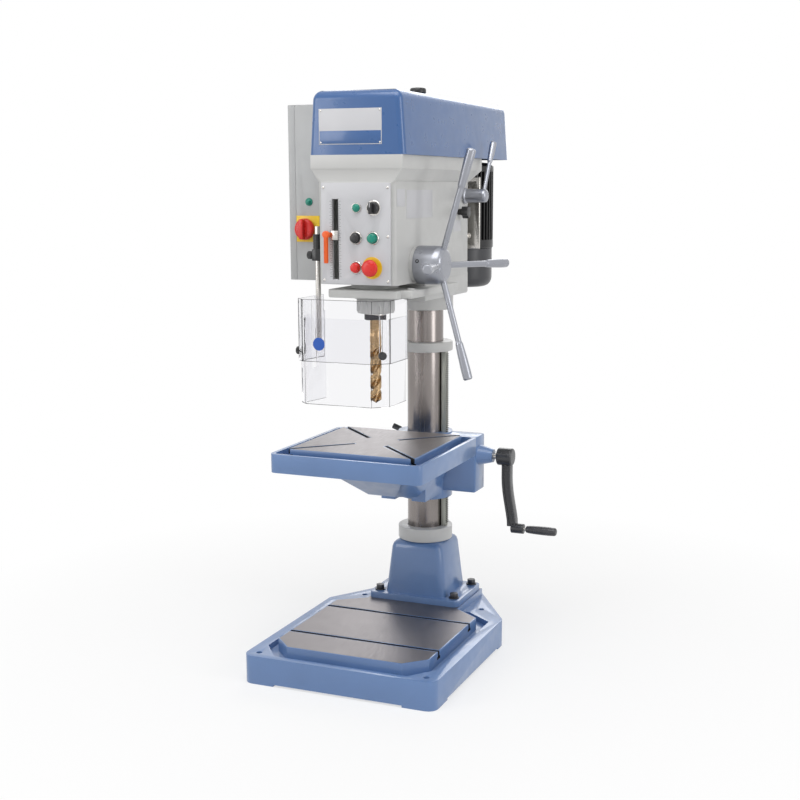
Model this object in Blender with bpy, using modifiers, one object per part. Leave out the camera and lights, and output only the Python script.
"""Floor-standing column drill press, in metres, with +Z up.

The column's axis is the Z axis of the drawing, -Y is the front, and +X is the side of the
feed levers. Everything hangs from one empty, which moves the drawing so that the object's
origin is the centre of its base.
"""

import math

import bmesh
import bpy
from mathutils import Matrix, Vector

GAP = 0.0003              # between two faces that touch
RUN = 0.0006              # radial clearance of a piece that turns or slides

# Base plate, with a machined plateau that also carries the column's foot
BASE_WIDTH = 0.608
BASE_FRONT = -0.684
BASE_CHAMFER_Y = -0.100   # where the straight sides end
BASE_REAR = 0.200
BASE_REAR_WIDTH = 0.220
BASE_RIM_Z = 0.086
BASE_FOOT_RELIEF = 0.006
BASE_POCKET_ROOF = 0.070             # pockets under the plateau, between ribs
BASE_POCKETS = ((-0.600, -0.418, 0.200), (-0.394, -0.212, 0.200), (-0.188, 0.080, 0.104))
BASE_RIB = 0.024
PLATEAU_Z = 0.108
PLATEAU_WIDTH = 0.486
PLATEAU_FRONT = -0.633
PLATEAU_CORNER = 0.060
PLATEAU_SHOULDER_Y = -0.178
CHANNEL_FLOOR_Z = 0.068
CHANNEL_WIDTH = 0.028
BASE_SLOT_YS = (-0.498, -0.240)
SLOT_WIDTH = 0.012
SLOT_DEPTH = 0.016
BASE_BOLT_HOLES = ((-0.266, -0.650), (0.266, -0.650), (-0.208, -0.030), (0.208, -0.030))
BASE_BOLT_HOLE_RADIUS = 0.009

# Column, its foot and the two collars that trap the rack
COLUMN_RADIUS = 0.0575
COLUMN_TOP = 1.400
COLUMN_WALL = 0.008
FOOT_FLANGE = (0.310, 0.224, 0.020)
FOOT_BODY_BOTTOM = (0.214, 0.196)
FOOT_BODY_TOP = (0.172, 0.172)
FOOT_TOP_Z = 0.303
FOOT_BOLT_X = 0.130
FOOT_BOLT_YS = (-0.076, 0.088)
FOOT_BOLT_RADIUS = 0.010
FOOT_BOLT_HEAD = (0.012, 0.015)      # half width across flats, height
WASHER = (0.017, 0.003)              # radius, thickness
COLLAR_RADIUS = 0.088
LOWER_COLLAR_TOP = 0.347
UPPER_COLLAR = (0.922, 0.952)
RACK_WIDTH = 0.022
RACK_DEPTH = 0.020
TOOTH_MODULE = 0.002
TOOTH_PITCH = math.pi * TOOTH_MODULE
TOOTH_HEIGHT = 0.0036
TOOTH_THICKNESS = 0.0024             # on the pitch line, thin enough to run with play

# Table
TABLE_WIDTH = 0.472
TABLE_FRONT = -0.621
TABLE_REAR = -0.156
TABLE_RIM_Z = 0.681
TABLE_RIM_HEIGHT = 0.055
TABLE_CORNER = 0.020
TABLE_RIM_WALL = 0.011
TABLE_TROUGH_FLOOR_Z = 0.660
TABLE_TOP_Z = 0.690
TABLE_TOP_WIDTH = 0.396
TABLE_TOP_FRONT = -0.578
TABLE_TOP_REAR = -0.188
TABLE_SLOT_INNER = 0.070             # from the table's centre to each slot's inner end
TABLE_RING_RADIUS = 0.088
TABLE_RING_Z = (0.447, 0.660)
TABLE_SPLIT = 0.004
KEEL_CAVITIES = ((0.028, -0.330, 0.420), (0.085, -0.418, 0.585))   # half width, front, floor
KEEL_CAVITY_REAR = -0.110
KEEL_CAVITY_ROOF = 0.645
WORM_BOX = ((0.050, -0.042, 0.474), (0.188, 0.046, 0.655))
CRANK_Z = 0.592
CRANK_SHAFT_RADIUS = 0.010
WORM_ROOT_RADIUS = 0.0063
WORM_BOSS = (0.033, 0.021, 0.047)    # root radius, tip radius, length
PINION_TEETH = 22
CLAMP_BOLT_Y = 0.102
CLAMP_BOLT_Z = 0.600
CLAMP_BOLT_RADIUS = 0.008
CLAMP_EAR = 0.022                    # half width of the two ears together

# Crank
CRANK_HUB = (0.250, 0.300, 0.028)    # from x, to x, radius
CRANK_DROP = 0.231
CRANK_BOSS = (0.298, 0.340, 0.016)
CRANK_GRIP = (0.347, 0.447, 0.014)
CRANK_ARM_WIDTH = 0.030
CRANK_ARM_THICKNESS = 0.028
CRANK_ARM_BEND = ((0.267, 0.010), (0.267, 0.072), (0.271, 0.117), (0.279, 0.162), (0.286, 0.197), (0.287, 0.223))

# Head casting
HEAD_WIDTH = 0.238
HEAD_FRONT = -0.514
HEAD_REAR = 0.073
HEAD_CORNER = 0.014
HEAD_BOTTOM_Z = 1.164
HEAD_WAIST_Z = 1.449                 # the flare that carries the belt cover starts here
TRAY_WIDTH = 0.280
TRAY_SHOULDER_Z = 1.485
TRAY_TOP_Z = 1.523
TRAY_REAR = 0.132
HEAD_WALL = 0.010
SADDLE_FRONT = -0.290                # the deeper rear part, which holds the column
SADDLE_BOTTOM_Z = 1.103
SOLE_Z = (1.125, 1.149)              # plate round the quill, below the head
SOLE_FRONT = -0.500
SOLE_HALF_WIDTH = 0.098
LEDGE_RIGHT = 0.150
NECK_RADIUS = 0.089
NECK_Z = (1.055, 1.084)
PANEL_WIDTH = 0.212
PANEL_THICKNESS = 0.006
PANEL_Z = (1.165, 1.447)
BAY_DEPTH = 0.050                    # space behind the panel

# Spindle, quill and feed
SPINDLE_Y = -0.389
QUILL_RADIUS = 0.032
QUILL_Z = (1.070, 1.380)
QUILL_BORE = 0.0262
SLEEVE_RADIUS = QUILL_RADIUS + 0.012
SLEEVE_TOP_Z = 1.400
QUILL_TRAVEL = 0.120
QUILL_COLLAR = (0.0545, 1.0745, 1.1195)
QUILL_COLLAR_RIBS = 18
NOSE_RADIUS = 0.032
NOSE_Z = (1.054, 1.0697)
SPINDLE_RADIUS = 0.020
SPINDLE_SHOULDER_Z = 1.290
DRIVE_RADIUS = 0.014
SPINDLE_TOP_Z = 1.680
SHANK_LENGTH = 0.110
SHANK_RADIUS = (0.0155, 0.0125)
DRILL_RADIUS = 0.016
DRILL_TIP_Z = 0.812
FEED_Y = -0.374
FEED_Z = 1.216
FEED_SHAFT_RADIUS = 0.012
FEED_RACK_X = (QUILL_RADIUS - 0.001, QUILL_RADIUS + 0.018)   # rack bar on the quill's flank
FEED_PINION_X = (QUILL_RADIUS + 0.001, QUILL_RADIUS + 0.020)
SPRING_CASE = (0.062, 0.106, 0.042)
FEED_BOSS = (0.050, 0.012)           # radius and height of the pad under the hub
FEED_HUB = (0.055, 0.217)            # radius, outer end in x
HUB_SHOULDER = ((0, 0.017), (0.006, 0.008), (0.014, 0.0025), (0.024, 0))   # depth from the end, inset
LEVER_ROOT_X = 0.202
LEVER_CONE = math.radians(16)
LEVER_TURN = math.radians(-1.5)
LEVER_ROOT_RADIUS = 0.028            # where a lever enters the hub, from the feed axis
LEVER_LENGTH = 0.308
LEVER_ROD_RADIUS = 0.009
LEVER_GRIP = (0.108, 0.0110, 0.014)  # length, radius at its inner and outer end

# Belt drive and motor
PULLEY_Z = (1.545, 1.605)
SPINDLE_PULLEY_RADII = (0.074, 0.062, 0.050)
MOTOR_PULLEY_RADII = (0.041, 0.053, 0.065)
BELT_WIDTH = 0.0135
BELT_THICKNESS = 0.006
BELT_TURNS = 32                      # straight pieces that a full turn of belt would have
MOTOR_X = 0.022
MOTOR_Y = 0.272
MOTOR_RADIUS = 0.104
MOTOR_Z = (1.235, 1.516)
FAN_COVER_BOTTOM_Z = 1.108
MOTOR_SHAFT_RADIUS = 0.012
MOTOR_PLATE = ((-0.115, 0.155, 1.238), (0.125, 0.165, 1.466))
GUIDE_ROD_RADIUS = 0.010
GUIDE_ROD_X = 0.085
GUIDE_ROD_ZS = (1.280, 1.425)
TENSION_Y = 0.030
TENSION_Z = 1.408
TENSION_HUB = (0.021, 0.076)
TENSION_KNOB = (0.020, 0.036, -0.025, 1.359)

# Belt cover
COVER_WIDTH = 0.292
COVER_TOP_WIDTH = 0.268
COVER_FRONT = -0.514
COVER_REAR = 0.381
COVER_Z = (1.5234, 1.698)
COVER_WALL = 0.004
COVER_KNOB = (0.025, 0.034, -0.060)

# Electrical cabinet
CABINET_X = (-0.300, -0.1475)
CABINET_Y = (-0.300, 0.100)
CABINET_Z = (1.157, 1.675)
CABINET_WALL = 0.002
CABINET_SPACER = ((-0.230, 1.205), (-0.010, 1.430))   # y and z of the block that carries it
DOOR_DEPTH = 0.022
ISOLATOR = (-0.268, 1.310)
ISOLATOR_RADIUS = 0.032

# Controls on the panel
SLOT_X = (-0.070, -0.054)
SLOT_Z = (1.179, 1.402)
SELECTOR = (0.055, 1.378)
JOG = (0.001, 1.295)
START = (0.053, 1.295)
STOP = (0.001, 1.213)
ESTOP = (0.050, 1.213)
BUTTON_RADIUS = 0.0145
SELECTOR_RADIUS = 0.0165
ESTOP_RADIUS = 0.024
STEM_RADIUS = 0.0105
BUTTON_STROKE = 0.004
DEPTH_STOP_Z = 1.302

# Spindle guard
ROD_X = -0.198
ROD_Y = -0.362
ROD_RADIUS = 0.008
ROD_Z = (0.975, 1.321)
BRACKET_Z = (1.220, 1.298)
GUARD_X = (-0.222, 0.064)
GUARD_FRONT = -0.468
GUARD_REAR = (-0.285, -0.300)        # at the left and the right panel
GUARD_CHAMFER = (0.022, 0.040)       # front left and front right corner
GUARD_WALL = 0.004
GUARD_UPPER_Z = (0.932, 1.115)
GUARD_LOWER_Z = (0.805, 1.060)
SLEEVE_ROOM = 0.032                  # how far the lower screen's recess reaches below the upper one
GUARD_SLOT_Z = (0.950, 1.100)
THUMBSCREW_Z = 0.958

# Small finishing sizes
BORE_SIDES = 12
HANDLE_SIDES = 10
SHAFT_SIDES = 16
KNOB_SIDES = 20
ROUND_SIDES = 24
MOTOR_SIDES = 32

# ---------------------------------------------------------------- scene and helpers

for old in list(bpy.data.objects):
    bpy.data.objects.remove(old)

PARTS = bpy.data.collections.new("drill_press")
CUTTERS = bpy.data.collections.new("cutters")
CUTTERS.hide_render = True
bpy.context.scene.collection.children.link(PARTS)
bpy.context.scene.collection.children.link(CUTTERS)

FRAME = bpy.data.objects.new("drill_press_frame", None)
PARTS.objects.link(FRAME)


def material(name, colour, roughness, metallic=0.0):
    made = bpy.data.materials.new(name)
    made.use_nodes = True
    shader = made.node_tree.nodes["Principled BSDF"]
    shader.inputs["Base Color"].default_value = (*colour, 1.0)
    shader.inputs["Roughness"].default_value = roughness
    shader.inputs["Metallic"].default_value = metallic
    return made


BLUE = material("casting_blue", (0.150, 0.260, 0.500), 0.35)
COVER_BLUE = material("cover_blue", (0.060, 0.170, 0.400), 0.30)
GREY = material("casting_grey", (0.560, 0.560, 0.540), 0.40)
PANEL = material("panel_grey", (0.620, 0.620, 0.640), 0.35)
CABINET = material("cabinet_grey", (0.450, 0.450, 0.440), 0.45)
STEEL = material("bright_steel", (0.560, 0.540, 0.520), 0.25, 1.0)
DARK_STEEL = material("dark_steel", (0.080, 0.080, 0.085), 0.40, 1.0)
LEVER_GREY = material("lever_grey", (0.400, 0.410, 0.430), 0.40, 0.6)
CRANK_GREY = material("crank_grey", (0.080, 0.080, 0.090), 0.30, 0.3)
BLACK = material("black_plastic", (0.015, 0.015, 0.016), 0.40)
FAN_GREY = material("fan_grey", (0.060, 0.065, 0.075), 0.40)
RUBBER = material("rubber", (0.020, 0.020, 0.020), 0.80)
GOLD = material("coated_drill", (0.500, 0.330, 0.130), 0.35, 1.0)
CLEAR = material("clear_guard", (0.850, 0.880, 0.920), 0.10)
GREEN = material("green_plastic", (0.000, 0.230, 0.170), 0.35)
RED = material("red_plastic", (0.700, 0.020, 0.015), 0.35)
ORANGE = material("orange_plastic", (0.850, 0.130, 0.010), 0.35)


def add(name, mesh, finish, collection=PARTS, at=(0, 0, 0), turn=None):
    """A new object under the frame, placed by its location and rotation."""
    made = bpy.data.objects.new(name, mesh)
    collection.objects.link(made)
    made.parent = FRAME
    made.location = at
    if turn is not None:
        made.rotation_mode = "QUATERNION"
        made.rotation_quaternion = turn
    if finish:
        made.data.materials.append(finish)
    if collection is CUTTERS:
        made.hide_render = True
        made.display_type = "WIRE"
    return made


def mesh_of(bm, name, smooth=False):
    bmesh.ops.recalc_face_normals(bm, faces=bm.faces)
    mesh = bpy.data.meshes.new(name)
    bm.to_mesh(mesh)
    bm.free()
    if smooth:
        mesh.shade_smooth()
        mesh.set_sharp_from_angle(angle=math.radians(35))
    return mesh


def box(name, low, high, finish=None, collection=PARTS, pivot=(0, 0, 0), edge=0.0):
    """A block between two corners, with its edges bevelled by edge."""
    low, high, pivot = Vector(low), Vector(high), Vector(pivot)
    place = Matrix.Translation((low + high) / 2 - pivot) @ Matrix.Diagonal((*(high - low), 1))
    bm = bmesh.new()
    bmesh.ops.create_cube(bm, size=1.0, matrix=place)
    made = add(name, mesh_of(bm, name), finish, collection, pivot)
    if edge:
        soften(made, edge)
    return made


def soften(obj, width, segments=2):
    bevel = obj.modifiers.new("soft_edges", "BEVEL")
    bevel.width = width
    bevel.segments = segments
    bevel.limit_method = "ANGLE"
    bevel.angle_limit = math.radians(40)
    return bevel


def turned(name, profile, finish=None, at=(0, 0, 0), towards=(0, 0, 1), collection=PARTS,
           steps=ROUND_SIDES, closed=False):
    """A profile of (radius, height) points, from top to bottom, screwed round its axis."""
    bm = bmesh.new()
    ring = [bm.verts.new((radius, 0, height)) for radius, height in profile]
    pairs = list(zip(ring, ring[1:]))
    if closed:
        pairs.append((ring[-1], ring[0]))
    for first, second in pairs:
        bm.edges.new((first, second))
    mesh = bpy.data.meshes.new(name)
    bm.to_mesh(mesh)
    bm.free()
    turn = Vector((0, 0, 1)).rotation_difference(Vector(towards))
    made = add(name, mesh, finish, collection, at, turn)
    screw = made.modifiers.new("turned", "SCREW")
    screw.steps = steps
    screw.render_steps = steps
    screw.use_merge_vertices = True
    screw.merge_threshold = 0.00001
    screw.use_smooth_shade = True
    return made


def drum(name, radius, length, finish=None, at=(0, 0, 0), towards=(0, 0, 1), collection=PARTS,
         steps=ROUND_SIDES, chamfer=0.0):
    """A solid cylinder that starts at a point and runs along a direction."""
    profile = [(0, length), (radius - chamfer, length)]
    if chamfer:
        profile += [(radius, length - chamfer), (radius, chamfer)]
    profile += [(radius - chamfer, 0), (0, 0)]
    return turned(name, profile, finish, at, towards, collection, steps)


def clear(radius, steps=ROUND_SIDES):
    """Corner radius of a faceted bore whose flats just clear a circle of this radius."""
    return radius / math.cos(math.pi / steps)


def bore(name, radius, length, at=(0, 0, 0), towards=(0, 0, 1), steps=ROUND_SIDES):
    return drum(name, clear(radius, steps), length, at=at, towards=towards, steps=steps,
                collection=CUTTERS)


def ring(name, inner, outer, length, finish=None, at=(0, 0, 0), towards=(0, 0, 1), collection=PARTS,
         steps=ROUND_SIDES, chamfer=0.0):
    inner = clear(inner, steps)
    profile = [(inner, length), (outer - chamfer, length)]
    if chamfer:
        profile += [(outer, length - chamfer), (outer, chamfer)]
    profile += [(outer - chamfer, 0), (inner, 0)]
    return turned(name, profile, finish, at, towards, collection, steps, closed=True)


def rounded(corners, radii, steps=4):
    """The outline through the corners, each one rounded by an arc of its own radius."""
    outline = []
    count = len(corners)
    for i in range(count):
        here = Vector(corners[i])
        before = (Vector(corners[i - 1]) - here).normalized()
        after = (Vector(corners[(i + 1) % count]) - here).normalized()
        radius = radii[i] if isinstance(radii, (list, tuple)) else radii
        if radius <= 0:
            outline.append(tuple(here))
            continue
        half = before.angle(after) / 2
        centre = here + (before + after).normalized() * radius / math.sin(half)
        start = here + before * radius / math.tan(half) - centre
        sweep = math.pi - 2 * half
        sign = 1 if start.y * before.x - start.x * before.y > 0 else -1
        for k in range(steps + 1):
            turn = Matrix.Rotation(sign * sweep * k / steps, 2)
            outline.append(tuple(centre + turn @ start))
    return outline


def plate(name, outline, low, high, finish=None, collection=PARTS, at=(0, 0, 0), turn=None,
          holes=()):
    """A flat outline in XY, filled and extruded from low to high along Z, as a mesh."""
    curve = bpy.data.curves.new(name, "CURVE")
    curve.dimensions = "2D"
    curve.fill_mode = "BOTH"
    curve.extrude = (high - low) / 2
    for loop in (outline, *holes):
        spline = curve.splines.new("POLY")
        spline.points.add(len(loop) - 1)
        for point, (x, y) in zip(spline.points, loop):
            point.co = (x, y, 0, 1)
        spline.use_cyclic_u = True
    drawn = bpy.data.objects.new(name + "_outline", curve)
    PARTS.objects.link(drawn)
    graph = bpy.context.evaluated_depsgraph_get()
    mesh = bpy.data.meshes.new_from_object(drawn.evaluated_get(graph))
    bpy.data.objects.remove(drawn)
    bm = bmesh.new()
    bm.from_mesh(mesh)
    bmesh.ops.remove_doubles(bm, verts=bm.verts, dist=0.00001)
    bmesh.ops.dissolve_limit(bm, angle_limit=0.001, verts=bm.verts, edges=bm.edges)
    bmesh.ops.translate(bm, verts=bm.verts, vec=(0, 0, (low + high) / 2))
    bmesh.ops.recalc_face_normals(bm, faces=bm.faces)
    bm.to_mesh(mesh)
    bm.free()
    mesh.name = name
    return add(name, mesh, finish, collection, at, turn)


def side_plate(name, outline, low, high, finish=None, collection=PARTS, pivot=(0, 0, 0)):
    """A plate drawn in YZ and extruded along X."""
    turn = Matrix(((0, 0, 1), (1, 0, 0), (0, 1, 0))).to_quaternion()
    return plate(name, outline, low - pivot[0], high - pivot[0], finish, collection, pivot, turn)


def boolean(target, other, operation):
    step = target.modifiers.new(operation.lower(), "BOOLEAN")
    step.operation = operation
    step.object = other
    step.solver = "EXACT"


def use_manifold(target):
    """For castings with so many joined shapes that the exact solver leaves open edges."""
    for step in target.modifiers:
        if step.type == "BOOLEAN":
            step.solver = "MANIFOLD"


def cut(target, *cutters):
    for cutter in cutters:
        boolean(target, cutter, "DIFFERENCE")


def join(target, *pieces):
    for piece in pieces:
        boolean(target, piece, "UNION")


def hidden(maker, name, *values, **options):
    """A cutter or a joined shape, which isn't a part of its own."""
    return maker(name, *values, collection=CUTTERS, **options)


def tapered(name, low_size, high_size, low_z, high_z, finish=None, collection=PARTS,
            low_at=(0, 0), high_at=(0, 0), edge=0.0):
    """A block whose top rectangle differs from its bottom one."""
    bm = bmesh.new()
    bmesh.ops.create_cube(bm, size=1.0)
    for vertex in bm.verts:
        top = vertex.co.z > 0
        size, centre = (high_size, high_at) if top else (low_size, low_at)
        vertex.co = (
            centre[0] + vertex.co.x * size[0],
            centre[1] + vertex.co.y * size[1],
            high_z if top else low_z,
        )
    made = add(name, mesh_of(bm, name), finish, collection)
    if edge:
        soften(made, edge)
    return made


def mirrored(points):
    """Both sides of an outline whose left half is given from the front to the rear."""
    return list(points) + [(-x, y) for x, y in reversed(points)]


# ---------------------------------------------------------------- base, foot and column


def base_plate():
    half, rear = BASE_WIDTH / 2, BASE_REAR_WIDTH / 2
    outline = mirrored([(-half, BASE_FRONT), (-half, BASE_CHAMFER_Y), (-rear, BASE_REAR)])
    outer = rounded(outline, [0.030, 0.020, 0.020, 0.020, 0.020, 0.030])
    base = plate("base_plate", outer, 0, BASE_RIM_Z, BLUE)
    wide = PLATEAU_WIDTH / 2 + CHANNEL_WIDTH
    pocket = [
        (-wide, PLATEAU_FRONT + PLATEAU_CORNER - 0.012),
        (-wide, PLATEAU_SHOULDER_Y + 0.040),
        (-PLATEAU_WIDTH / 2 + 0.060, PLATEAU_SHOULDER_Y + 0.105),
    ]
    front = (-wide + PLATEAU_CORNER, PLATEAU_FRONT - CHANNEL_WIDTH)
    channel = plate("channel_cut", mirrored([front, *pocket]), CHANNEL_FLOOR_Z, BASE_RIM_Z + 0.01,
                    collection=CUTTERS)
    half_top = PLATEAU_WIDTH / 2
    foot = FOOT_FLANGE[0] / 2 + 0.004
    plateau = mirrored([
        (-half_top + PLATEAU_CORNER, PLATEAU_FRONT),
        (-half_top, PLATEAU_FRONT + PLATEAU_CORNER),
        (-half_top, PLATEAU_SHOULDER_Y),
        (-foot, -FOOT_FLANGE[1] / 2 - 0.004),
        (-foot, FOOT_FLANGE[1] / 2 + 0.004),
    ])
    raised = plate("plateau", plateau, CHANNEL_FLOOR_Z - 0.01, PLATEAU_Z, collection=CUTTERS)
    cut(base, channel)
    join(base, raised)
    for y in BASE_SLOT_YS:
        low = (-BASE_WIDTH / 2 + 0.03, y - SLOT_WIDTH / 2, PLATEAU_Z - SLOT_DEPTH)
        high = (BASE_WIDTH / 2 - 0.03, y + SLOT_WIDTH / 2, PLATEAU_Z + 0.01)
        cut(base, hidden(box, "base_slot", low, high))
        low = (-BASE_WIDTH / 2 + 0.03, y - SLOT_WIDTH, PLATEAU_Z - SLOT_DEPTH - 0.008)
        high = (BASE_WIDTH / 2 - 0.03, y + SLOT_WIDTH, PLATEAU_Z - SLOT_DEPTH + 0.001)
        cut(base, hidden(box, "base_slot_foot", low, high))
    for x, y in BASE_BOLT_HOLES:
        cut(base, bore("base_hole", BASE_BOLT_HOLE_RADIUS, 0.2, at=(x, y, -0.05), steps=BORE_SIDES))
    for x in (-FOOT_BOLT_X, FOOT_BOLT_X):
        for y in FOOT_BOLT_YS:
            cut(base, bore("stud_hole", FOOT_BOLT_RADIUS + GAP, 0.06,
                             at=(x, y, PLATEAU_Z - 0.025), steps=BORE_SIDES))
    for front, back, reach in BASE_POCKETS:
        for side in (-1, 1):
            near, far = sorted((side * BASE_RIB / 2, side * reach))
            cut(base, hidden(box, "base_pocket", (near, front, -0.01), (far, back, BASE_POCKET_ROOF)))
    relief = BASE_FOOT_RELIEF
    inner = BASE_WIDTH / 2 - 0.10
    cut(base, hidden(box, "front_relief", (-inner, BASE_FRONT - 0.01, -0.01),
                     (inner, BASE_REAR + 0.01, relief)))
    cut(base, hidden(box, "side_relief", (-BASE_WIDTH, BASE_FRONT + 0.10, -0.01),
                     (BASE_WIDTH, BASE_CHAMFER_Y - 0.04, relief)))


def column_foot():
    width, depth, thick = FOOT_FLANGE
    low = PLATEAU_Z + GAP
    corners = mirrored([(-width / 2, -depth / 2), (-width / 2, depth / 2)])
    foot = plate("column_foot", rounded(corners, 0.018), low, low + thick, BLUE)
    body = tapered("foot_body", FOOT_BODY_BOTTOM, FOOT_BODY_TOP, low + 0.002, FOOT_TOP_Z,
                   collection=CUTTERS)
    bevel = soften(body, 0.022, 3)
    bevel.angle_limit = math.radians(60)
    join(foot, body)
    cut(foot, bore("foot_bore", COLUMN_RADIUS + GAP, 0.4, at=(0, 0, PLATEAU_Z - 0.01)))
    number = 0
    for y in FOOT_BOLT_YS:
        for x in (-FOOT_BOLT_X, FOOT_BOLT_X):
            number += 1
            cut(foot, bore("bolt_hole", FOOT_BOLT_RADIUS + GAP, 0.06, at=(x, y, low - 0.01),
                             steps=BORE_SIDES))
            seat = low + thick + GAP
            across, tall = FOOT_BOLT_HEAD
            bolt = turned(f"foot_bolt_{number}",
                          [(0, WASHER[1]), (WASHER[0], WASHER[1]), (WASHER[0], 0),
                           (FOOT_BOLT_RADIUS, 0), (FOOT_BOLT_RADIUS, -0.040), (0, -0.040)],
                          DARK_STEEL, at=(x, y, seat), steps=SHAFT_SIDES)
            head = hidden(drum, "bolt_head", across / math.cos(math.pi / 6), tall,
                          at=(x, y, seat + WASHER[1] / 2), steps=6, chamfer=0.0015)
            join(bolt, head)


def column():
    low = PLATEAU_Z + GAP
    ring("column", COLUMN_RADIUS - COLUMN_WALL, COLUMN_RADIUS, COLUMN_TOP - low, STEEL, at=(0, 0, low))


def rack_slot(name, low, high):
    """The space that the rack and its run round the column need inside a collar."""
    half = RACK_WIDTH / 2
    return hidden(box, name, (0, -half - RUN, low), (COLUMN_RADIUS + RACK_DEPTH + RUN, half + RUN, high))


def collars():
    low = FOOT_TOP_Z + GAP
    ring("lower_collar", COLUMN_RADIUS + GAP, COLLAR_RADIUS, LOWER_COLLAR_TOP - low, GREY,
         at=(0, 0, low), chamfer=0.003)
    low, high = UPPER_COLLAR
    ring("upper_collar", COLUMN_RADIUS + GAP, COLLAR_RADIUS, high - low, GREY, at=(0, 0, low),
         chamfer=0.003)


def rack():
    """Toothed bar on the column's +X side, trapped between the collars."""
    low, high = LOWER_COLLAR_TOP + GAP, UPPER_COLLAR[0] - GAP
    face = COLUMN_RADIUS + RACK_DEPTH
    count = int((high - low - 0.012) / TOOTH_PITCH)
    first = crank_mesh_z() - math.floor((crank_mesh_z() - low - 0.006) / TOOTH_PITCH) * TOOTH_PITCH
    root = face - TOOTH_HEIGHT
    slope = math.tan(math.radians(20)) * TOOTH_HEIGHT / 2
    outline = [(COLUMN_RADIUS + 0.002, low), (root, low)]
    for i in range(count):
        # A gap between two teeth lies at the height of the pinion's axis.
        middle = first + (i + 0.5) * TOOTH_PITCH
        if middle + TOOTH_PITCH / 2 > high:
            break
        half = TOOTH_THICKNESS / 2
        outline += [(root, middle - half - slope), (face, middle - half + slope),
                    (face, middle + half - slope), (root, middle + half + slope)]
    outline += [(root, high), (COLUMN_RADIUS + 0.002, high)]
    turn = Matrix(((1, 0, 0), (0, 0, -1), (0, 1, 0))).to_quaternion()
    bar = plate("rack", outline, -RACK_WIDTH / 2, RACK_WIDTH / 2, STEEL, turn=turn)
    cut(bar, bore("rack_back", COLUMN_RADIUS + GAP, 0.8, at=(0, 0, 0.25)))


def crank_mesh_z():
    """Height of the lift pinion's axis, under the worm."""
    return CRANK_Z - pinion_radius() - TOOTH_HEIGHT / 2 - WORM_ROOT_RADIUS - GAP


def pinion_radius():
    return PINION_TEETH * TOOTH_MODULE / 2


def gear(name, x_range, centre, finish, axis, shaft):
    """A spur pinion with straight-sided teeth, on a round shaft."""
    radius = pinion_radius()
    outline = []
    half = TOOTH_THICKNESS / 2 / radius
    lean = math.tan(math.radians(20)) * TOOTH_HEIGHT / 2 / radius
    for i in range(PINION_TEETH):
        middle = 2 * math.pi * i / PINION_TEETH
        for offset, r in ((-half - lean, -1), (-half + lean, 1), (half - lean, 1), (half + lean, -1)):
            tooth = radius + r * TOOTH_HEIGHT / 2
            outline.append((tooth * math.cos(middle + offset), tooth * math.sin(middle + offset)))
    turn = Vector((0, 0, 1)).rotation_difference(Vector(axis))
    made = plate(name, outline, x_range[0], x_range[1], finish, at=centre, turn=turn)
    start, end, shaft_radius = shaft
    base = Vector(centre) + Vector(axis) * start
    join(made, hidden(drum, name + "_shaft", shaft_radius, end - start, at=base, towards=axis,
                      steps=SHAFT_SIDES))
    return made


# ---------------------------------------------------------------- table and its lift

PINION_X = COLUMN_RADIUS + RACK_DEPTH - TOOTH_HEIGHT / 2 + pinion_radius() + GAP
PINION_Z = crank_mesh_z()


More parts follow.
